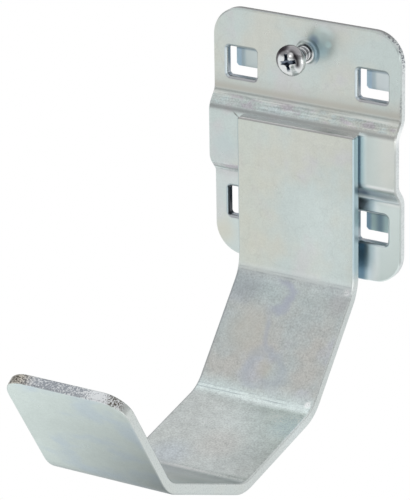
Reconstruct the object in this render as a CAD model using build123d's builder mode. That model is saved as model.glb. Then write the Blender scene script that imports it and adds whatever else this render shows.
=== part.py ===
from build123d import *
import os
from math import cos, radians, sin, tan

# Pipe holder for a perforated tool panel. A stamped hook plate hangs on the panel, a bent
# strap welded to the plate's middle band carries the pipe, and a lock screw bears on the panel.
# X runs across, Y back through the panel and Z up, in millimetres.
# The origin is the centre of the four hooks, on the panel's face.

# Hook plate: one sheet, its middle band pressed forward of the two flanges
plate_sheet = 2.0
plate_side = 8.25  # from the hooks' centres out to the plate's sides
plate_end = 14.5  # from the hooks' centres out to the plate's upper and lower edges
plate_corner = 8.0
plate_edge = 0.35  # chamfer of the front edges
band_height = 18.4  # between the middles of the two slopes
band_step = 3.0
band_slope = 38.0  # of the slopes against the flanges, in degrees
sheet_bend = 2.0  # inside radius of the plate's bends

# Hooks, lanced out of their windows and set back behind the panel
hook_pitch = 38.0
window_width = 8.7
window_height = 7.9
window_corner = 0.9
window_edge = 0.9  # rounding that the punch leaves on the front edges
hook_slit = 0.4  # between a hook and each side of its window
hook_neck_slope = 80.0  # of the neck against the plate, in degrees
hook_crook = 0.4  # inside radius where a hook's neck leaves the plate's back
hook_bend = 0.8  # inside radius between neck and hook
hook_clear = 1.6  # from a hook's lower end down to the window's lower edge
hook_chamfer = 0.6
hook_overlap = 0.25  # run of a hook in the plate above its neck
panel_sheet = 2.0
panel_play = 0.4

# Lock screw in its drawn collar, backed out as it is supplied
screw_rise = 6.0  # above the upper hooks' centres
screw_diameter = 4.0
screw_length = 8.0
screw_out = 6.8  # from the plate's front to the underside of the head
screw_play = 0.05  # round the shank, in radius
screw_point = 0.5  # chamfer of the tip
head_diameter = 8.0
head_height = 3.1
head_side = 1.5  # height of the head's straight side
head_edge = 0.4
recess_span = 4.7
recess_width = 1.0
recess_depth = 1.9
recess_floor = 1.6  # length of a wing at the bottom
recess_turn = 13.0  # in degrees
collar_wall = 0.75
collar_height = 1.2
collar_foot = 0.6  # radius where the collar leaves the plate
collar_rim = 0.3

# Cradle strap: a flat bar with four bends, from its upper end down to the lip
strap_width = 34.0
strap_sheet = 3.0
strap_rise = 6.8  # from the band's middle up to the strap's upper end
strap_bend = 9.0  # inside radius
strap_edge = 0.4
strap_corner = 0.8
lip_corner = 6.5
leg_length = 41.0
back_length = 33.2
heel_length = 33.7
toe_length = 36.5
lip_length = 34.9
back_turn = 40.7  # in degrees
heel_turn = 37.8  # in degrees
toe_turn = 33.8  # in degrees
lip_turn = 35.0  # in degrees

plate_width = hook_pitch + 2 * plate_side
plate_height = hook_pitch + 2 * plate_end
plate_front = -plate_sheet
band_front = plate_front - band_step

# Front line of the sheet from top to bottom: flange, slope, band, slope, flange
slope_run = band_step / tan(radians(band_slope))
slope_top = (band_height + slope_run) / 2
slope_foot = (band_height - slope_run) / 2
valley = sheet_bend
ridge = sheet_bend + plate_sheet
plate_line = [
    (plate_front, plate_height / 2),
    (plate_front, slope_top),
    (band_front, slope_foot),
    (band_front, -slope_foot),
    (plate_front, -slope_top),
    (plate_front, -plate_height / 2),
]

# Front and back lines of one hook, about the centre of its window. The neck leaves the window's
# upper wall behind the rounded front edge.
hook_front = panel_sheet + panel_play
hook_back = hook_front + plate_sheet
hook_width = window_width - 2 * hook_slit
hook_root = window_height / 2
hook_end = hook_clear - hook_root
neck_front = plate_front + window_edge
neck_fall = 1 / tan(radians(hook_neck_slope))
neck_half_turn = tan(radians(hook_neck_slope) / 2)
hook_elbow = hook_root - (hook_front - neck_front) * neck_fall
back_elbow = hook_elbow + plate_sheet * neck_half_turn
neck_top = back_elbow + hook_back * neck_fall
hook_top = neck_top + hook_crook * neck_half_turn + hook_overlap
front_line = [
    (neck_front, hook_root),
    (hook_front, hook_elbow),
    (hook_front, hook_end),
]
back_line = [
    (0, hook_top),
    (0, neck_top),
    (hook_back, back_elbow),
    (hook_back, hook_end),
]

# Pipe side of the strap, from its upper end down the leg and round to the lip
strap_front = band_front - strap_sheet
strap_line = [(strap_front, strap_rise), (strap_front, strap_rise - leg_length)]
heading = 0.0
for bend, length in (
    (back_turn, back_length),
    (heel_turn, heel_length),
    (toe_turn, toe_length),
    (lip_turn, lip_length),
):
    heading += radians(bend)
    last_y, last_z = strap_line[-1]
    strap_line.append((last_y - length * sin(heading), last_z - length * cos(heading)))

# Middles of the strap's two end faces
lip_y, lip_z = strap_line[-1]
half_sheet = strap_sheet / 2
upper_end = (0, strap_front + half_sheet, strap_rise)
lip_end = (0, lip_y + half_sheet * cos(heading), lip_z - half_sheet * sin(heading))

# Half section of the screw: radius along x, distance out from the plate's front along y
screw_height = hook_pitch / 2 + screw_rise
screw_side = Plane((0, plate_front, screw_height), x_dir=(1, 0, 0), z_dir=(0, 0, -1))
screw_axis = Axis(screw_side.origin, screw_side.y_dir)
screw_radius = screw_diameter / 2
screw_tip = screw_out - screw_length
hole_radius = screw_radius + screw_play
collar_radius = hole_radius + collar_wall
collar_reach = collar_radius + 2 * collar_foot
head_radius = head_diameter / 2
head_top = screw_out + head_height
head_shoulder = screw_out + head_side
dome_height = head_height - head_side
dome_radius = (head_radius**2 + dome_height**2) / (2 * dome_height)

with BuildPart() as hook_plate:
    with BuildSketch(Plane.YZ):
        with BuildLine():
            sheet_line = FilletPolyline(plate_line, radius=[valley, ridge, ridge, valley])
            offset(sheet_line, amount=plate_sheet, side=Side.LEFT)
        make_face()
    extrude(amount=plate_width / 2, both=True)
    with BuildSketch(Plane.XZ):
        RectangleRounded(plate_width, plate_height, plate_corner)
    extrude(amount=plate_width, both=True, mode=Mode.INTERSECT)
    front = hook_plate.faces().filter_by(lambda face: face.normal_at().Y < -0.1)
    sides = hook_plate.faces().filter_by(lambda face: abs(face.normal_at().Y) < 0.1)
    chamfer(front.edges() & sides.edges(), plate_edge)

    # Windows, with their front edges drawn in by the punch
    with BuildSketch(Plane.XZ):
        with GridLocations(hook_pitch, hook_pitch, 2, 2):
            RectangleRounded(window_width, window_height, window_corner)
    extrude(amount=plate_width, both=True, mode=Mode.SUBTRACT)
    fillet(hook_plate.edges(Select.LAST).group_by(Axis.Y)[0], window_edge)

    # Each hook hangs from the upper edge of its window
    for window in GridLocations(hook_pitch, hook_pitch, 2, 2):
        window_middle = (window.position.X, 0, window.position.Y)
        with BuildSketch(Plane(window_middle, x_dir=(0, 1, 0), z_dir=(1, 0, 0))):
            with BuildLine():
                lug_front = FilletPolyline(front_line, radius=hook_bend)
                lug_back = FilletPolyline(back_line, radius=[hook_crook, hook_bend + plate_sheet])
                Polyline(lug_front @ 0, (neck_front, hook_top), lug_back @ 0)
                Line(lug_front @ 1, lug_back @ 1)
            make_face()
        extrude(amount=hook_width / 2, both=True)
    tips = hook_plate.faces().filter_by(Axis.Z).filter_by(lambda face: face.center().Y > hook_front)
    chamfer(tips.edges().filter_by(Axis.Y), hook_chamfer)

    # Screw hole, with the collar drawn forward round it
    with BuildSketch(Plane.XZ):
        with Locations((0, screw_height)):
            Circle(hole_radius)
    extrude(amount=plate_width, both=True, mode=Mode.SUBTRACT)
    with BuildSketch(screw_side):
        with BuildLine():
            collar_line = FilletPolyline(
                (collar_reach, 0),
                (collar_radius, 0),
                (collar_radius, collar_height),
                (hole_radius, collar_height),
                radius=[collar_foot, collar_rim],
            )
            Polyline(
                collar_line @ 1,
                (hole_radius, -plate_sheet / 2),
                (collar_reach, -plate_sheet / 2),
                collar_line @ 0,
            )
        make_face()
    revolve(axis=screw_axis)

with BuildPart() as cradle_strap:
    with BuildSketch(Plane.YZ):
        with BuildLine():
            pipe_line = FilletPolyline(strap_line, radius=strap_bend)
            offset(pipe_line, amount=strap_sheet, side=Side.LEFT)
        make_face()
    extrude(amount=strap_width / 2, both=True)
    for middle, corner in ((upper_end, strap_corner), (lip_end, lip_corner)):
        end_face = cradle_strap.faces().sort_by_distance(middle)[0]
        fillet(end_face.edges().filter_by(Axis.X, reverse=True), corner)

    # Broken edges where the two broad sides meet the edges and ends of the bar
    ends = [cradle_strap.faces().sort_by_distance(middle)[0] for middle in (upper_end, lip_end)]
    broad = cradle_strap.faces().filter_by(lambda face: abs(face.normal_at().X) < 0.001) - ends
    rim = broad.edges() & (cradle_strap.faces() - broad).edges()
    chamfer(rim, strap_edge)

with BuildPart() as lock_screw:
    with BuildSketch(screw_side) as half_section:
        with BuildLine():
            shank_line = Polyline(
                (0, head_top),
                (0, screw_tip),
                (screw_radius - screw_point, screw_tip),
                (screw_radius, screw_tip + screw_point),
                (screw_radius, screw_out),
                (head_radius, screw_out),
                (head_radius, head_shoulder),
            )
            RadiusArc(shank_line @ 1, shank_line @ 0, -dome_radius)
        make_face()
        fillet(half_section.vertices().group_by(Axis.X)[-1], head_edge)
    revolve(axis=screw_axis)

    # Cross recess: two wings whose ends slope in towards the bottom
    for turn in (recess_turn, recess_turn + 90):
        with BuildSketch(screw_side.rotated((0, turn, 0))):
            with BuildLine():
                Polyline(
                    (-recess_span / 2, head_top),
                    (recess_span / 2, head_top),
                    (recess_floor / 2, head_top - recess_depth),
                    (-recess_floor / 2, head_top - recess_depth),
                    close=True,
                )
            make_face()
        extrude(amount=recess_width / 2, both=True, mode=Mode.SUBTRACT)

hook_plate.part.label = "hook_plate"
cradle_strap.part.label = "cradle_strap"
lock_screw.part.label = "lock_screw"

os.makedirs("parts", exist_ok=True)
export_step(hook_plate.part, "parts/hook_plate.step")
export_step(cradle_strap.part, "parts/cradle_strap.step")
export_step(lock_screw.part, "parts/lock_screw.step")
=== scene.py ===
import math

import bpy
from mathutils import Matrix, Vector


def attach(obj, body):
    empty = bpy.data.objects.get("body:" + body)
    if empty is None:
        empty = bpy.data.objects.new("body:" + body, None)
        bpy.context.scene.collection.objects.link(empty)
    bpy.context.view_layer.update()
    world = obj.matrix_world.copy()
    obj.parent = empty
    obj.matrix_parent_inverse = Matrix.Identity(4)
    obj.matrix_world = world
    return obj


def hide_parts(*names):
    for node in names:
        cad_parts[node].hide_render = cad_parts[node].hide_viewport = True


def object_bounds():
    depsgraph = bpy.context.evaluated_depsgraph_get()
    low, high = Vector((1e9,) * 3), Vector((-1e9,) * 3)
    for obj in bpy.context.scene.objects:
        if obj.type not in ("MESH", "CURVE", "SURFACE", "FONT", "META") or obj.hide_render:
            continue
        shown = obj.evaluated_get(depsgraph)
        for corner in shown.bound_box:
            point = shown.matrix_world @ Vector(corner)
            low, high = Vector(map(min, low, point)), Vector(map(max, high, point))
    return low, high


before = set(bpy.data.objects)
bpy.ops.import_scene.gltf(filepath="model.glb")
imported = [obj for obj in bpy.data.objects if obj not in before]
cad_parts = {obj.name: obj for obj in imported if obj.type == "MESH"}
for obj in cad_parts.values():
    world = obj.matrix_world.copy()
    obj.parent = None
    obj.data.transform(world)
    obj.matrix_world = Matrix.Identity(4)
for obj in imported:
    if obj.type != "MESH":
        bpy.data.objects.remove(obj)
cad_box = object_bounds()

# Hook plate: one stamped sheet of steel, its middle band pressed forward between two flanges, with
# four hooks lanced out of their windows. It is zinc plated and passivated, which leaves a satin
# grey with faint patches of blue-green, straw and lilac, and its cut edges stay rough.

# Places in millimetres from the centre of the four hooks, on the panel's face
hook_centre = 19.0
plate_front = -2.0
band_front = -5.0
screw_height = 25.0
plate_edge = 0.12


class Shade:
    """A socket in a material's nodes. Arithmetic on it adds Math nodes, and node() any other kind."""

    def __init__(self, tree, socket=None):
        self.tree = tree
        self.socket = socket

    def node(self, kind, settings=None, inputs=None, output=0):
        made = self.tree.nodes.new("ShaderNode" + kind)
        for name, value in (settings or {}).items():
            setattr(made, name, value)
        for name, value in (inputs or {}).items():
            if isinstance(value, Shade):
                self.tree.links.new(value.socket, made.inputs[name])
            else:
                made.inputs[name].default_value = value
        return Shade(self.tree, made.outputs[output])

    def math(self, operation, first, second=0.0):
        return self.node("Math", {"operation": operation}, {0: first, 1: second})

    def __add__(self, other):
        return self.math("ADD", self, other)

    def __radd__(self, other):
        return self.math("ADD", other, self)

    def __sub__(self, other):
        return self.math("SUBTRACT", self, other)

    def __rsub__(self, other):
        return self.math("SUBTRACT", other, self)

    def __mul__(self, other):
        return self.math("MULTIPLY", self, other)

    def __rmul__(self, other):
        return self.math("MULTIPLY", other, self)

    def __truediv__(self, other):
        return self.math("DIVIDE", self, other)

    def __rtruediv__(self, other):
        return self.math("DIVIDE", other, self)

    def __neg__(self):
        return self.math("MULTIPLY", self, -1.0)

    def __abs__(self):
        return self.math("ABSOLUTE", self)


def new_finish(name):
    """A fresh material, as (material, its Principled shader, a Shade to start from)."""
    material = bpy.data.materials.new(name)
    material.use_nodes = True
    shader = material.node_tree.nodes["Principled BSDF"]
    return material, shader, Shade(material.node_tree)


def feed(shader, name, shade):
    """Links a Shade to a named socket of a shader."""
    shade.tree.links.new(shade.socket, shader.inputs[name])


def linear(red, green, blue):
    """A colour read as it shows on a screen, 0 to 255, as the shader takes it."""
    shown = [channel / 255 for channel in (red, green, blue)]
    return tuple(c / 12.92 if c < 0.04045 else ((c + 0.055) / 1.055) ** 2.4 for c in shown) + (1.0,)


def step(value, low, high):
    """0 below low, 1 above high and smooth between."""
    inputs = {"Value": value, "From Min": low, "From Max": high}
    return value.node("MapRange", {"interpolation_type": "SMOOTHSTEP"}, inputs)


def fade(value, low, high):
    """1 below low, 0 above high and smooth between."""
    return 1 - step(value, low, high)


def span(value, low, full, fading, high):
    """0 below low, 1 from full to fading and 0 above high."""
    return step(value, low, full) * fade(value, fading, high)


def stripe(value, middle, half):
    """1 where value is at the middle, falling to 0 at half to either side."""
    return fade(abs(value - middle), 0.0, half)


def apart(place, centre):
    """Distance of a point from a centre."""
    return place.node("VectorMath", {"operation": "DISTANCE"}, {0: place, 1: centre}, 1)


def blot(place, centre, inner, outer):
    """A round spot about a centre: 1 within the inner radius, 0 past the outer one."""
    return fade(apart(place, centre), inner, outer)


def tint(mask, under, over):
    """One colour over another by a mask."""
    return mask.node("Mix", {"data_type": "RGBA"}, {0: mask, 6: under, 7: over}, 2)


def coats(tone, *layers):
    """A tone under layers of (mask, colour), each over the one before. Plain colours are 0 to 255."""
    for mask, colour in layers:
        tone = tint(mask, tone, colour if isinstance(colour, Shade) else linear(*colour))
    return tone


def shaded(colour, level):
    """A colour made lighter or darker by a level round 1."""
    grey = level.node("CombineXYZ", inputs={0: level, 1: level, 2: level})
    return level.node("VectorMath", {"operation": "MULTIPLY"}, {0: colour, 1: grey})


def grain(place, scale, detail=2.0, stretch=(1.0, 1.0, 1.0), shift=0.0):
    """Noise from 0 to 1 in cells of about 1 / scale millimetres, drawn out by stretch."""
    inputs = {0: place, 1: stretch, 2: (shift, shift * 1.7, -shift)}
    spot = place.node("VectorMath", {"operation": "MULTIPLY_ADD"}, inputs)
    return place.node("TexNoise", inputs={"Vector": spot, "Scale": scale, "Detail": detail})


def zinc_place(start):
    """Where a point lies in millimetres, as (vector, x, y, z)."""
    local = start.node("TexCoord", output="Object")
    place = start.node("VectorMath", {"operation": "SCALE"}, {0: local, "Scale": 1000.0})
    return (place, *(start.node("SeparateXYZ", inputs={0: place}, output=axis) for axis in "XYZ"))


def zinc_facing(start):
    """Which way a surface faces: to the right, to the back and up."""
    facing = start.node("TexCoord", output="Normal")
    return [start.node("SeparateXYZ", inputs={0: facing}, output=axis) for axis in "XYZ"]


def patches(place, cool, warm, lilac):
    """Passivated zinc: soft patches of three tints."""
    broad = grain(place, 0.06, 3.0)
    second = grain(place, 0.09, 3.0, shift=37.0)
    tone = tint(step(broad, 0.40, 0.62), linear(*cool), linear(*warm))
    return tint(0.8 * step(second, 0.52, 0.68), tone, linear(*lilac))


def crazing(place):
    """1 on the fine wandering lines in the passivation, 0 between them."""
    warp = place.node("TexNoise", inputs={"Vector": place, "Scale": 0.3, "Detail": 2.0}, output="Color")
    bent = place.node("VectorMath", {"operation": "MULTIPLY_ADD"}, {0: warp, 1: (5, 5, 5), 2: place})
    crack = place.node("TexVoronoi", {"feature": "DISTANCE_TO_EDGE"}, {"Vector": bent, "Scale": 0.17})
    faint = step(grain(place, 0.22, 2.0, shift=11.0), 0.45, 0.62)
    return fade(crack, 0.0, 0.05) * faint


def mottle(place, amount):
    """Brightness round 1 in patches of about two millimetres and grains of half a millimetre."""
    coarse = grain(place, 0.45, 3.0, shift=5.0) - 0.5
    fine = grain(place, 2.2, 3.0, shift=14.0) - 0.5
    return 1.0 + amount * (0.45 * coarse + fine)


def spangle(place, amount):
    """Brightness round 1 of plated zinc, mottled by an amount and finely crazed."""
    return (1.0 - 0.05 * crazing(place)) * mottle(place, amount)


def satin(place):
    """Roughness of satin zinc, in soft patches."""
    return 0.24 + 0.12 * grain(place, 0.35, 3.0, shift=21.0)


def dimpled(height):
    """The normal of a surface whose height varies by a few hundredths of a millimetre."""
    return height.node("Bump", inputs={"Strength": 0.25, "Distance": 0.00003, "Height": height})


def ease_edges(node, width):
    """Rounds a node's sharp edges by a width in millimetres, as tumbling and plating leave them."""
    node.modifiers.new("weld", "WELD").merge_threshold = 2e-6
    flat = node.modifiers.new("flat", "DECIMATE")
    flat.decimate_type = "DISSOLVE"
    flat.angle_limit = math.radians(0.3)
    ease = node.modifiers.new("ease", "BEVEL")
    ease.width = width / 1000
    ease.segments = 3
    ease.limit_method = "ANGLE"
    ease.angle_limit = math.radians(28)
    smooth = node.modifiers.new("smooth", "WEIGHTED_NORMAL")
    smooth.weight = 80


def plated(node, finish, edge):
    """Gives a node its finish and eases its edges."""
    node.data.materials.clear()
    node.data.materials.append(finish)
    ease_edges(node, edge)


sheet, sheet_shader, start = new_finish("zinc_sheet")
place, x, y, z = zinc_place(start)
aside, ahead, upward = zinc_facing(start)
front = abs(ahead)
fore = step(-ahead, 0.1, 0.4)
tone = patches(place, (198, 209, 207), (204, 207, 200), (202, 204, 205))

# Slopes: the press has drawn the sheet there, which leaves clouds and lines along them
slope = span(y, -4.7, -4.2, -2.8, -2.3) * step(abs(upward), 0.25, 0.5) * fore
cloud = grain(place, 0.35, 3.0, stretch=(0.6, 1.0, 1.0), shift=44.0)
drawn = grain(place, 1.6, 3.0, stretch=(0.06, 1.0, 1.0), shift=8.0)
tone = coats(
    tone,
    (0.7 * slope * step(cloud, 0.5, 0.62), (198, 192, 201)),
    (0.7 * slope * fade(cloud, 0.38, 0.5), (194, 208, 209)),
)
tone = shaded(tone, spangle(place, 0.22 + 0.55 * slope) + slope * 1.1 * (drawn - 0.52))

# Upper slope: painted shade in the bend above it and on the bend below it, a painted highlight where it
# starts, and a dark mark at the strap's upper left corner
valley = stripe(z, 11.4, 2.4) * fore
apron = step(z, 11.2, 12.0) * fore
ridge = stripe(z, 7.3, 1.3) * step(y, -5.2, -4.9)
first_line = stripe(z, 10.3, 0.5) * step(drawn, 0.4, 0.6) * fore
corner_mark = stripe(x + 19.05 + 1.2 * (z - 6.1), 0.0, 0.5) * stripe(z, 6.1, 0.9) * fade(x, -18.0, -17.6)
tone = coats(
    tone,
    (0.25 * valley, (184, 179, 172)),
    (0.3 * apron * fade(z, 13.5, 16.5), (180, 179, 171)),
    (0.75 * apron * fade(z, 12.2, 14.0), (180, 179, 171)),
    (0.5 * ridge, (170, 170, 172)),
    (0.7 * first_line, (232, 234, 229)),
    (0.8 * corner_mark * fore, (84, 86, 80)),
)

# Right of the strap and low down: painted lighter, with painted shade on the lower slope, a painted
# highlight along each of its bends, and a painted dark line along the lower slope on the left
right_side = step(x, 15.0, 19.0) * fade(z, 6.0, 8.5)
low = fade(z, -13.0, -11.0)
low_slope = span(z, -9.9, -9.3, -8.2, -7.4) * fore
low_fold = stripe(z, -9.6, 0.5) * fade(x, -18.0, -17.0) * fore
band_tone = tint(step(x, 20.0, 25.0), linear(203, 216, 215), linear(222, 226, 222))
tone = coats(
    tone,
    (0.7 * right_side, band_tone),
    (low * (0.25 + 0.7 * right_side), (222, 233, 231)),
    (0.9 * right_side * stripe(z, -6.7, 0.9) * fore, (250, 252, 252)),
    (low_slope * right_side * (0.7 - 0.4 * step(x, 18.0, 26.0)), (152, 170, 182)),
    (right_side * stripe(z, -10.9, 1.5) * fore, (252, 255, 255)),
    (0.6 * low_fold, (136, 150, 146)),
)

# Close beside the strap: painted shade in the nook under it and in the gap behind its leg, and painted
# reflections of its side along the sheet
beside = step(x, 14.0, 14.5) * fade(y, -1.0, 0.0) * fore
nook = beside * fade(x, 17.8, 20.0) * stripe(z, -8.9, 2.0)
low_gleam = low * beside * span(x, 17.4, 18.4, 19.5, 22.0)
dusk = beside * fade(x, 16.3, 17.9) * fade(z, -23.5, -22.5)
dusk_tone = tint(step(z, -27.0, -24.0), linear(132, 160, 176), linear(181, 228, 255))
bend_gleam = beside * fade(x, 19.0, 21.0) * stripe(z, -13.0, 2.6)
band_gleam = span(x, 16.6, 17.0, 17.6, 19.6) * span(z, -7.0, -5.5, 7.0, 7.6) * fore
tone = coats(
    tone,
    (0.9 * nook, (84, 104, 124)),
    (low_gleam, (250, 255, 255)),
    (0.95 * dusk, dusk_tone),
    (bend_gleam, (246, 253, 255)),
    (0.85 * band_gleam, (240, 254, 255)),
)

# Beside the lock screw: its painted reflection, which is pale with a blue and a white spot. On the
# left:
# two stains, one cool and one straw
glance = blot(place, (3.6, plate_front, 27.0), 1.4, 4.2) * fore
tone = coats(
    tone,
    (0.9 * glance, (210, 236, 242)),
    (0.75 * fore * blot(place, (5.2, plate_front, 30.0), 1.0, 3.6), (240, 255, 253)),
    (0.6 * fore * blot(place, (2.2, plate_front, 28.4), 0.4, 2.2), (120, 138, 172)),
    (fore * blot(place, (6.4, plate_front, 28.0), 0.4, 1.3), (234, 255, 255)),
    (0.5 * blot(place, (-22.4, band_front, -2.5), 1.0, 5.5), (190, 208, 208)),
    (0.5 * blot(place, (-24.5, plate_front, -28.0), 0.5, 5.0), (210, 206, 190)),
)

# Cut edges: pale (partly painted light), with the rough grain of the shear, most of all round the upper
# right corner. A painted highlight on the right edge by the upper slope, painted shade on the right
# bevel and on the top edge towards the back, and a dark mark on the left edge by the upper slope
rise = z - hook_centre * start.math("SIGN", z)
across = abs(abs(x) - hook_centre)
inside = fade(across, 4.6, 4.9) * fade(abs(rise), 4.2, 4.5)
cut_edge = fade(front, 0.15, 0.45)
outline = cut_edge * (1 - inside)
speck = grain(place, 2.6, 3.0, stretch=(1.0, 0.5, 1.0), shift=3.0)
corner = step(x, 20.0, 24.0) * step(z, 22.0, 28.0)
left_edge_mark = fade(x, -27.2, -26.9) * span(z, 7.5, 8.5, 11.5, 12.5)
scuffed = step(x, 26.75, 26.95) * stripe(z, 14.5, 6.0) * step(front, 0.5, 0.7) * step(speck, 0.4, 0.55)
right_bevel = step(x, 26.7, 26.95) * step(aside, 0.3, 0.5) * step(front, 0.3, 0.5)
top_edge = outline * step(upward, 0.5, 0.8) * step(z, 30.0, 33.0)
tone = coats(
    tone,
    (outline, (222, 228, 228)),
    (outline * step(speck, 0.46, 0.60) * (0.15 + 0.85 * corner), (112, 116, 126)),
    (0.9 * outline * step(x, 26.0, 27.0) * stripe(z, 7.5, 3.5), (252, 255, 255)),
    (0.8 * left_edge_mark, (92, 88, 96)),
    (0.8 * scuffed, (92, 92, 100)),
    (0.6 * right_bevel * (1 - stripe(z, 7.5, 4.5)), (150, 157, 156)),
    (top_edge * (0.3 + 0.6 * step(y, -1.5, -0.5)), (132, 132, 132)),
)

# Windows: walls in painted shade, lighter low down, behind front edges that the punch has rounded,
# painted shade under their tops, painted light and shade on their sills, painted highlights on their
# sides and deep painted shade in the slit of the lower left one
low_right = step(x, 0.0, 1.0) * fade(z, -1.0, 0.0)
wall = cut_edge * inside * fade(y, 0.0, 0.3)
rolled = fade(across, 5.1, 5.4) * fade(abs(rise), 4.75, 5.0) * fade(y, 0.0, 0.4)
brow = rolled * step(-upward, 0.03, 0.3) * step(rise, 2.0, 3.0)
sill = rolled * step(upward, 0.05, 0.4) * fade(rise, -3.0, -2.0) * step(front, 0.3, 0.5)
sill_tone = tint(low_right, linear(172, 171, 181), linear(242, 251, 255))
jamb = rolled * step(aside, 0.1, 0.4) * step(front, 0.35, 0.6)
low_slit = span(x, -23.7, -23.5, -22.9, -22.6) * fade(abs(z + hook_centre), 3.9, 4.4)
tone = coats(
    tone,
    (0.7 * wall, (132, 144, 158)),
    (0.6 * wall * fade(rise, -3.4, -2.9), (200, 204, 212)),
    (0.65 * brow, (132, 147, 152)),
    (0.6 * sill, sill_tone),
    (0.7 * jamb, (208, 222, 230)),
    (0.9 * low_slit * fade(front, 0.8, 0.97), (44, 48, 54)),
)

# Hooks: seen through the windows, painted with light and shade, with painted reflections of the back of
# the sheet on their left and painted shade along their tops
behind = step(y, 0.1, 0.8) * (0.25 + 0.75 * fore)
hook_x = x - hook_centre * start.math("SIGN", x)
hook_tone = tint(step(x, -20.0, 0.0), linear(190, 201, 202), linear(204, 213, 216))
hook_tone = tint(step(hook_x, -3.0, -1.8), linear(204, 230, 255), hook_tone)
hook_tone = tint(0.8 * stripe(hook_x, -1.8, 1.0), hook_tone, linear(163, 185, 196))
low_hook_tone = tint(step(hook_x, -3.2, -2.2), linear(170, 204, 232), linear(232, 255, 255))
low_hook_tone = tint(stripe(hook_x, 0.0, 1.8), low_hook_tone, linear(165, 196, 214))
tone = coats(
    tone,
    (0.8 * behind, tint(low_right, hook_tone, low_hook_tone)),
    (0.7 * behind * step(rise, 1.9, 2.5) * fore, (118, 138, 150)),
)

# Screw's hole and its collar: a bore in painted shade, a rim with painted shade above and a painted
# highlight below, and a foot that runs out into the flange, painted darker on its right beside the
# screw's painted reflection
above = z - screw_height
bore = start.math("SQRT", x * x + above * above)
collar = step(-y, 1.5, 1.9) * fade(bore, 3.8, 4.1)
collar_rim = collar * span(bore, 2.1, 2.3, 2.6, 2.9)
foot_turn = step((x + 0.3 * above) / bore, 0.3, 0.9)
foot_tone = tint(foot_turn, linear(198, 206, 205), linear(138, 162, 174))
tone = coats(
    tone,
    (0.8 * fade(bore, 2.2, 2.5), (70, 70, 80)),
    (0.85 * collar * step(bore, 2.7, 2.95), foot_tone),
    (0.8 * collar_rim * step((x + above) / bore, 0.7, 1.2), (62, 58, 68)),
    (collar_rim * step((x - above) / bore, 0.4, 1.0), (255, 255, 255)),
)

sheet_rough = satin(place) + 0.12 * cut_edge + 0.16 * glance + 0.3 * behind * low_right
feed(sheet_shader, "Base Color", tone)
feed(sheet_shader, "Roughness", sheet_rough)
feed(sheet_shader, "Normal", dimpled(grain(place, 1.1) + 0.6 * slope * drawn + 2.0 * outline * speck))
sheet_shader.inputs["Metallic"].default_value = 1.0
plated(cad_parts["hook_plate"], sheet, plate_edge)

# Cradle strap: flat steel bar, sheared to length, bent four times on a press brake and welded to the
# plate's band. It has the same zinc plating, with painted highlights across the bends and painted light
# and shade on its faces, water stains on the back and a rough sheared end on the lip.

strap_half = 17.0
strap_front = -8.0
strap_top = 6.8
strap_edge = 0.15
leg_length = 41.0
side_lengths = [33.2, 33.7, 36.5, 34.9]
bend_turns = [40.7, 37.8, 33.8, 35.0]

# Corner of each bend on the pipe's side, with the heading halfway round it from straight down
bends = []
heading = 0.0
end_y = strap_front
end_z = strap_top - leg_length
for turn, length in zip(bend_turns, side_lengths):
    bends.append((end_y, end_z, math.radians(heading + turn / 2)))
    heading += turn
    end_y -= length * math.sin(math.radians(heading))
    end_z -= length * math.cos(math.radians(heading))
lip_run_y = -math.sin(math.radians(heading))
lip_run_z = -math.cos(math.radians(heading))
lip_length = side_lengths[-1]

bar, bar_shader, start = new_finish("zinc_bar")
place, x, y, z = zinc_place(start)
aside, ahead, upward = zinc_facing(start)
along = [
    -math.sin(lean) * (y - bend_y) - math.cos(lean) * (z - bend_z) for bend_y, bend_z, lean in bends
]
past = [step(run, 0.0, 1.2) for run in along]
on_leg = 1 - past[0]
on_back = past[0] * (1 - past[1])
on_heel = past[1] * (1 - past[2])
on_toe = step(along[2], -1.4, -0.2) * (1 - past[3]) * step(upward, 0.0, 0.3)
on_lip = past[3]

# Flats from the leg down to the toe, with painted highlights at the first two bends, painted light on
# the heel, the toe and the leg's lower right, the back painted a little darker, and painted shade along
# the left edge and at the back's upper left
back_tone = patches(place, (191, 199, 199), (198, 198, 194), (194, 197, 203))
heel_light = step(x, -14.0, 16.0) * fade(along[1], 6.0, 24.0)
heel_tone = tint(heel_light, linear(204, 209, 208), linear(246, 255, 255))
tone = coats(
    patches(place, (199, 210, 208), (205, 208, 200), (203, 205, 206)),
    (0.5 * on_leg * fade(x, -14.0, -2.0), (206, 207, 194)),
    (0.24 * on_leg * step(x, -4.0, 8.0) * fade(z, -16.0, -4.0), (235, 246, 244)),
    (on_back, back_tone),
    (0.6 * on_back * fade(along[0], 4.0, 12.0), (190, 203, 204)),
    (0.45 * on_back * blot(place, (-13.0, -10.5, -37.0), 2.0, 8.0), (158, 163, 168)),
    (0.7 * on_back * blot(place, (14.5, -10.8, -37.4), 1.0, 5.0), (182, 183, 184)),
    (0.9 * on_heel, heel_tone),
    (0.8 * stripe(along[1], -0.5, 4.5), (216, 229, 228)),
    (0.6 * stripe(along[0], 0.1, 2.4), (246, 254, 255)),
    (on_toe * (1 - 0.7 * step(along[2], 6.0, 22.0)), (252, 255, 254)),
    (0.5 * on_heel * blot(place, (15.0, -38.0, -61.0), 1.0, 7.0), (224, 244, 255)),
    (0.5 * on_heel * blot(place, (-8.0, -58.0, -65.2), 1.0, 8.0), (194, 203, 213)),
    (0.5 * on_heel * blot(place, (2.0, -50.0, -63.5), 2.0, 9.0), (212, 210, 206)),
    (0.6 * fade(x, -16.9, -16.0) * (on_back + on_heel), (116, 116, 124)),
)
tone = shaded(tone, spangle(place, 0.22 + 0.5 * on_back + 0.6 * on_heel))

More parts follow.
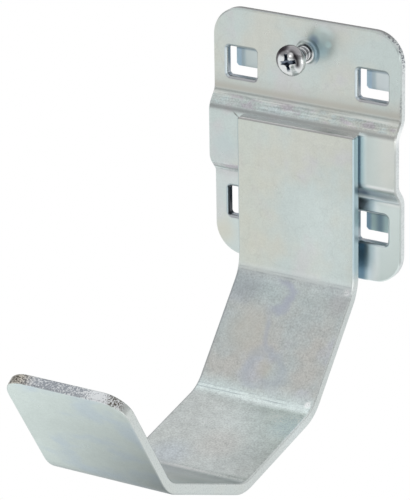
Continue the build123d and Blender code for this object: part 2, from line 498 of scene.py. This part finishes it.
# Water stains on the back: a ring, an arc above it and a run between them
wander = 6.0 * (grain(place, 0.25, 3.0, shift=2.0) - 0.5)
ring_centre = (0.1, -24.4, -53.3)
arc_centre = (-3.7, -11.7, -38.5)
ring_stain = stripe(apart(place, ring_centre) + wander, 4.8, 3.0)
arc_stain = stripe(apart(place, arc_centre) + wander, 4.3, 2.2) * step(x, -6.5, -1.0)
run_line = stripe(x + 2.3 + 0.35 * (y + 19.0) + 0.3 * wander, 0.0, 1.3)
tone = coats(
    tone,
    (0.38 * ring_stain, (176, 186, 198)),
    (0.4 * blot(place, ring_centre, 1.0, 3.2), (202, 198, 184)),
    (0.6 * arc_stain, (174, 179, 198)),
    (0.55 * run_line * span(y, -22.0, -19.0, -17.0, -14.5), (172, 181, 198)),
    (0.4 * on_back * blot(place, (-8.0, -18.5, -46.5), 2.0, 9.0), (204, 197, 184)),
)

# Fine lines that the press brake leaves along the first two bends
fine_line = grain(place, 0.5, 3.0, stretch=(0.3, 1.0, 1.0), shift=17.0)
waver = 0.5 * (fine_line - 0.5)
broken_line = step(fine_line, 0.35, 0.6)
first_bend = stripe(along[0] + waver, 0.35, 0.4) + 0.6 * stripe(along[0], -0.5, 0.3)
second_bend = stripe(along[1] + waver, -0.9, 0.35) + stripe(along[1], 0.2, 0.3)
tone = coats(
    tone,
    (0.32 * first_bend * broken_line, (120, 128, 138)),
    (0.5 * second_bend * broken_line, (130, 140, 148)),
)

# Sides of the bar painted lighter, with dark specks. The back and side of the leg painted with the
# light and shade of the gap behind it, a painted shadow where the leg meets the band, and two painted
# highlights at the right ends of the first two bends
side = step(abs(aside), 0.3, 0.7)
flecks = grain(place, 2.4, 3.0, shift=23.0)
near_plate = step(y, -12.0, -10.0)
leg_rear = step(ahead, 0.5, 0.8) * step(z, -36.0, -33.0) * near_plate
leg_side = side * step(z, -33.0, -28.0) * near_plate
foot_shadow = leg_side * step(y, -6.1, -5.4) * step(z, -10.0, -8.0)
tone = coats(
    tone,
    (0.8 * side, (213, 219, 217)),
    (0.5 * side * step(flecks, 0.5, 0.66), (176, 182, 182)),
    (0.8 * leg_rear, (205, 222, 236)),
    (0.8 * leg_side, (176, 199, 207)),
    (0.9 * foot_shadow, (54, 82, 104)),
)
# Painted highlights at the right ends of the first two bends
for glint_centre in ((15.6, -8.6, -35.0), (15.5, -28.8, -58.5)):
    tone = coats(tone, (0.9 * blot(place, glint_centre, 0.4, 1.4) * step(flecks, 0.35, 0.5), (252, 254, 255)))

# Outer face of the lip, with faint streaks, and painted shade towards its lower right corner and next
# to its bend
outer = step(along[3], -9.0, -7.0) * step(lip_run_y * upward - lip_run_z * ahead, 0.5, 0.8)
right_part = (x + strap_half) / (2 * strap_half)
low_part = (lip_run_y * (end_y - y) + lip_run_z * (end_z - z)) / lip_length
lip_dusk = 0.17 * right_part + 0.11 * low_part + 0.42 * right_part * low_part
wipe = grain(place, 0.14, 3.0, stretch=(0.6, 1.0, 1.0), shift=29.0) - 0.5
lip_tone = tint(step(wipe + 0.25 * right_part, 0.08, 0.3), linear(223, 235, 231), linear(211, 225, 230))
lip_tone = shaded(lip_tone, (1.0 - lip_dusk + 0.16 * wipe) * mottle(place, 0.2))
lip_tone = coats(lip_tone, (0.7 * fade(along[3], -6.0, 2.5), (146, 156, 158)))

# End faces: the lip's is torn by the shear, brownish at both corners and with a painted highlight
# towards its right; the leg's is smooth and painted light, with painted shade along its front rim
sheared = step(lip_run_y * ahead + lip_run_z * upward, 0.45, 0.75) * on_lip
torn = grain(place, 2.6, 4.0, shift=31.0)
near_left = fade(x, -12.0, -7.0)
near_right = step(x, 11.0, 13.0)
dull = tint(near_left + near_right, linear(158, 163, 170), linear(100, 95, 88))
clean = tint(near_left, linear(228, 231, 233), linear(212, 207, 197))
glint = 0.17 * stripe(x, 10.0, 4.0) - 0.08 * stripe(x, -2.0, 9.0)
leg_end = step(z, 5.6, 6.2) * step(upward, 0.5, 0.8)
leg_rim = step(z, 6.25, 6.45) * step(upward, 0.15, 0.35) * fade(y, -7.75, -7.55)
tone = coats(
    tone,
    (outer, lip_tone),
    (sheared, tint(step(torn + glint, 0.40, 0.60), dull, clean)),
    (0.9 * leg_end, (252, 250, 251)),
    (0.8 * leg_rim, (160, 160, 160)),
)

feed(bar_shader, "Base Color", tone)
feed(bar_shader, "Roughness", satin(place) + 0.10 * sheared)
feed(bar_shader, "Normal", dimpled(grain(place, 1.1) + 7.0 * sheared * torn))
bar_shader.inputs["Metallic"].default_value = 1.0
bar_shader.inputs["Specular Tint"].default_value = linear(220, 223, 224)
plated(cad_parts["cradle_strap"], bar, strap_edge)

# Lock screw: an M4 pan head screw with a cross recess, cold headed with a rolled thread and bright
# zinc plated. It turns in the collar drawn out of the plate and its tip bears on the panel.

# Distances out are from the plate's front
thread_radius = 2.0
thread_root = 1.57
thread_pitch = 0.7
thread_steps = 8
root_half = 0.125  # of the pitch, to either side of the root's middle
flank = 0.3125  # of the pitch, from root to crest
tip_out = -1.2
tip_chamfer = 0.5
head_out = 6.8
head_radius = 4.0
head_side = 1.5
head_rise = 3.1
head_edge = 0.35
shoulder_land = 0.25
shoulder_drop = 0.105
shoulder_radii = [3.93, 3.78, 3.5]
wing_half = 0.5
wing_reach = 2.35
recess_core = 0.95
recess_lip = 0.06
recess_depth = 1.9
recess_point = 0.25
foot_reach = 0.8
foot_core = 0.7
recess_turn = math.radians(13.0)
head_top = head_out + head_rise
dome_height = head_rise - head_side
dome_radius = (head_radius**2 + dome_height**2) / (2 * dome_height)


def dome(radius):
    """Distance of the head's domed top out from the plate's front, at a radius from the axis."""
    return head_top - dome_radius + math.sqrt(dome_radius**2 - radius**2)


def wing_edge(angle, reach, core):
    """Distance from the axis to the edge of the cross recess, at an angle from a wing's middle."""
    folded = abs((angle + math.pi / 4) % (math.pi / 2) - math.pi / 4)
    to_end = reach / math.cos(folded)
    to_side = wing_half / math.sin(folded) if folded > 0.01 else to_end
    return max(min(to_end, to_side), min(core, to_end))


def thread(angle, out):
    """Radius of the rolled thread at an angle and a distance out from the plate's front."""
    phase = (out / thread_pitch + angle / (2 * math.pi)) % 1.0
    climb = min(max((abs(phase - 0.5) - root_half) / flank, 0.0), 1.0)
    radius = thread_root + (thread_radius - thread_root) * climb
    return min(radius, thread_radius - tip_chamfer + max(out - tip_out, 0.0))


def screw_point(radius, angle, out):
    """A point of the screw, in metres."""
    turned = angle + recess_turn
    return (
        radius * math.cos(turned) / 1000,
        (plate_front - out) / 1000,
        (screw_height + radius * math.sin(turned)) / 1000,
    )


# Angles of one quarter in degrees, closest where a wing of the recess turns its corners
quarter = [0, 7, 12, 14.5, 18, 23, 31.8, 38.4, 45, 51.6, 58.2, 67, 72, 75.5, 78, 83]
angles = [math.radians(corner * 90 + part) for corner in range(4) for part in quarter]
count = len(angles)

# Rings of (radius, distance out) from the tip up the thread, round the head and into the recess
rings = []
shank_rows = round((head_out - tip_out) / thread_pitch * thread_steps)
for row in range(shank_rows + 1):
    out = tip_out + (head_out - tip_out) * row / shank_rows
    rings.append([(thread(angle, out), out) for angle in angles])
for turn in (-90, -60, -30, 0):
    edge_in = head_edge * (1 - math.cos(math.radians(turn)))
    edge_up = head_edge * (1 + math.sin(math.radians(turn)))
    rings.append([(head_radius - edge_in, head_out + edge_up)] * count)
rings.append([(head_radius, head_out + head_side - shoulder_land)] * count)
for radius in shoulder_radii:
    drop = shoulder_drop * (radius / head_radius) ** 12
    rings.append([(radius, dome(radius) - drop)] * count)
rims = [wing_edge(angle, wing_reach, recess_core) for angle in angles]
for part in (0.75, 0.5, 0.25, 0.06):
    radii = [rim + (shoulder_radii[-1] - rim) * part for rim in rims]
    rings.append([(radius, dome(radius)) for radius in radii])
rings.append([(rim, dome(rim) - recess_lip) for rim in rims])
foot_out = head_top - recess_depth
feet = [wing_edge(angle, foot_reach, foot_core) for angle in angles]
for part in (0.35, 0.7, 1.0):
    wall_ring = []
    for rim, foot in zip(rims, feet):
        wall_ring.append((rim + (foot - rim) * part, dome(rim) + (foot_out - dome(rim)) * part))
    rings.append(wall_ring)

points = []
for ring in rings:
    points += [screw_point(radius, angle, out) for angle, (radius, out) in zip(angles, ring)]
faces = []
for row in range(len(rings) - 1):
    lower = row * count
    upper = lower + count
    for spot in range(count):
        after = (spot + 1) % count
        faces.append((lower + spot, lower + after, upper + after, upper + spot))
faces.append(tuple(reversed(range(count))))
last = (len(rings) - 1) * count
points.append(screw_point(0.0, 0.0, foot_out - recess_point))
faces += [(last + spot, last + (spot + 1) % count, len(points) - 1) for spot in range(count)]
screw_mesh = bpy.data.meshes.new("pan_head_screw")
screw_mesh.from_pydata(points, [], faces)
screw_mesh.polygons.foreach_set("use_smooth", [True] * len(screw_mesh.polygons))
screw_mesh.set_sharp_from_angle(angle=math.radians(38))
screw = bpy.data.objects.new("pan_head_screw", screw_mesh)
bpy.context.scene.collection.objects.link(screw)

bright, bright_shader, start = new_finish("zinc_screw")
place, x, y, z = zinc_place(start)
above = z - screw_height
reach = start.math("SQRT", x * x + above * above)

# Head: mirror bright, with painted reflections of the room's dark parts on its upper half, a painted
# highlight, and the cross recess in painted shade
slant = math.radians(60)
left_turn = (math.cos(slant) * above - math.sin(slant) * x) / reach
right_turn = (math.cos(slant) * above + math.sin(slant) * x) / reach
on_head = fade(y, -9.2, -8.9)
crown = step(above, 0.8, 2.0) * step(reach, 1.6, 2.4)
crescent = step(left_turn, 0.35, 0.75) * step(reach, 2.6, 3.3)
wedge = step(right_turn, 0.45, 0.8) * stripe(reach, 2.8, 1.1)
flash = blot(place, (0.9, -11.2, screw_height + 1.9), 0.4, 1.0)
under_dome = y - plate_front + head_top - reach * reach / (2 * dome_radius)
recess = step(under_dome, 0.12, 0.7) * fade(reach, 2.5, 2.8) * fade(y, -9.1, -8.9)

# Shank: painted shade between the turns of the thread
on_shank = 1 - on_head
roots = on_shank * fade(reach, 1.65, 1.95)
turns = on_shank * (stripe(y, -5.6, 0.5) + stripe(y, -4.1, 0.5))
tone = coats(
    tint(grain(place, 0.6, 3.0), linear(214, 221, 226), linear(228, 228, 224)),
    (0.7 * on_head * crown, (140, 135, 140)),
    (0.95 * on_head * crescent, (46, 38, 44)),
    (0.95 * on_head * wedge, (30, 22, 28)),
    (flash, (250, 250, 250)),
    (0.85 * roots, (70, 70, 80)),
    (0.7 * turns, (66, 62, 72)),
    (0.85 * recess, (70, 86, 108)),
)
feed(bright_shader, "Base Color", tone)
feed(bright_shader, "Roughness", 0.11 + 0.08 * grain(place, 1.2, 3.0) + 0.15 * recess)
bright_shader.inputs["Metallic"].default_value = 1.0
screw_mesh.materials.append(bright)
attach(screw, "screw")
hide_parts("lock_screw")

# Floor and light: a pale floor well below the holder, which hangs free, with white all round. Three
# grey screens and three soft boxes draw the metal's bends and edges.

floor_drop = 0.6
floor_half = 3.0
screen_radius = 1.6
screen_pieces = 24
floor_height = cad_box[0].z - floor_drop
floor_mesh = bpy.data.meshes.new("floor")
floor_mesh.from_pydata(
    [(a * floor_half, b * floor_half, floor_height) for a, b in ((-1, -1), (1, -1), (1, 1), (-1, 1))],
    [],
    [(0, 1, 2, 3)],
)
floor = bpy.data.objects.new("floor", floor_mesh)
bpy.context.scene.collection.objects.link(floor)


def seen_white(start):
    """1 for the rays of the camera and of the metal, which see the surroundings as white."""
    camera_ray = start.node("LightPath", output="Is Camera Ray")
    glossy_ray = start.node("LightPath", output="Is Glossy Ray")
    transmission_ray = start.node("LightPath", output="Is Transmission Ray")
    return start.math("MINIMUM", camera_ray + glossy_ray + transmission_ray, 1.0)


def glow(start, level):
    """Plain grey light of a level, 1 for white."""
    return start.node("Emission", inputs={"Color": (level, level, level, 1.0), "Strength": 1.0})


def surface(material, shade):
    """Makes a shader the surface of a material."""
    feed(material.node_tree.nodes["Material Output"], "Surface", shade)


pale, pale_shader, start = new_finish("pale_floor")
pale_shader.inputs["Base Color"].default_value = (0.8, 0.8, 0.8, 1.0)
pale_shader.inputs["Roughness"].default_value = 1.0
lit = Shade(pale.node_tree, pale_shader.outputs[0])
surface(pale, start.node("MixShader", inputs={0: seen_white(start), 1: lit, 2: glow(start, 1.0)}))
floor_mesh.materials.append(pale)

world = bpy.data.worlds.new("studio")
bpy.context.scene.world = world
world.use_nodes = True
background = world.node_tree.nodes["Background"]
background.inputs["Color"].default_value = (1.0, 1.0, 1.0, 1.0)
feed(background, "Strength", 0.5 + 0.5 * seen_white(Shade(world.node_tree)))


def screen(name, first, last, low, high, level):
    """A curved screen between two bearings and two lifts in degrees, seen only in the metal."""
    rim = []
    for part in range(screen_pieces + 1):
        bearing = math.radians(first + (last - first) * part / screen_pieces)
        rim.append((screen_radius * math.sin(bearing), screen_radius * math.cos(bearing)))
    heights = [screen_radius * math.tan(math.radians(lift)) for lift in (low, high)]
    corners = [(a, b, height) for a, b in rim for height in heights]
    strips = [(2 * n, 2 * n + 2, 2 * n + 3, 2 * n + 1) for n in range(screen_pieces)]
    mesh = bpy.data.meshes.new(name)
    mesh.from_pydata(corners, [], strips)
    grey, _, start = new_finish(name)
    surface(grey, glow(start, level))
    mesh.materials.append(grey)
    made = bpy.data.objects.new(name, mesh)
    bpy.context.scene.collection.objects.link(made)
    for rays in ("camera", "diffuse", "shadow"):
        setattr(made, "visible_" + rays, False)


screen("dark_screen", 80, 280, 4, 30, 0.52)
screen("grey_screen", -80, 80, 3, 30, 0.6)
screen("grey_ceiling", -180, 180, 40, 89, 0.8)


def soft_box(name, place, aim, width, height, power):
    """A rectangular area light at place, facing aim."""
    lamp = bpy.data.lights.new(name, "AREA")
    lamp.shape = "RECTANGLE"
    lamp.size = width
    lamp.size_y = height
    lamp.energy = power
    box = bpy.data.objects.new(name, lamp)
    box.location = place
    box.rotation_euler = (Vector(aim) - Vector(place)).to_track_quat("-Z", "Y").to_euler()
    box.visible_camera = False
    bpy.context.scene.collection.objects.link(box)


middle = (cad_box[0] + cad_box[1]) / 2
soft_box("top_box", (-0.55, 0.05, 1.1), middle, 0.5, 0.5, 0.25)
soft_box("spot_box", (-0.23, -1.23, 0.40), middle, 0.15, 0.15, 0.16)
soft_box("edge_box", (0.80, -0.45, 0.0), middle, 0.25, 0.6, 0.4)

# Camera: a long lens from the right and a little above, at the photograph's angle. The picture is
# 410 by 500 pixels, so the sensor's 36 mm lie along its height.

picture_height = 500
sensor = 36.0
focal_pixels = 3770.4
azimuth = math.radians(29.838)
elevation = math.radians(19.695)
roll = math.radians(-0.878)
distance = 0.95836
aim_right = -0.02593
aim_up = -0.02700
pivot = Vector((0, plate_front / 1000, 0.00065))
skyward = Vector((0, 0, 1))
outward = math.cos(elevation)
back = Vector((math.sin(azimuth) * outward, -math.cos(azimuth) * outward, math.sin(elevation)))
right = (-back).cross(skyward).normalized()
up = right.cross(-back)
eye = pivot + back * distance
forward = (pivot + right * aim_right + up * aim_up - eye).normalized()
level_right = forward.cross(skyward).normalized()
level_up = level_right.cross(forward)
camera_right = level_right * math.cos(roll) + level_up * math.sin(roll)
camera_up = level_up * math.cos(roll) - level_right * math.sin(roll)
camera_turn = Matrix((camera_right, camera_up, -forward)).transposed().to_4x4()
camera = bpy.data.objects.new("camera", bpy.data.cameras.new("camera"))
camera.data.sensor_width = sensor
camera.data.lens = sensor * focal_pixels / picture_height
camera.matrix_world = Matrix.Translation(eye) @ camera_turn
bpy.context.scene.collection.objects.link(camera)
bpy.context.scene.camera = camera
bpy.context.scene.view_settings.view_transform = "Standard"
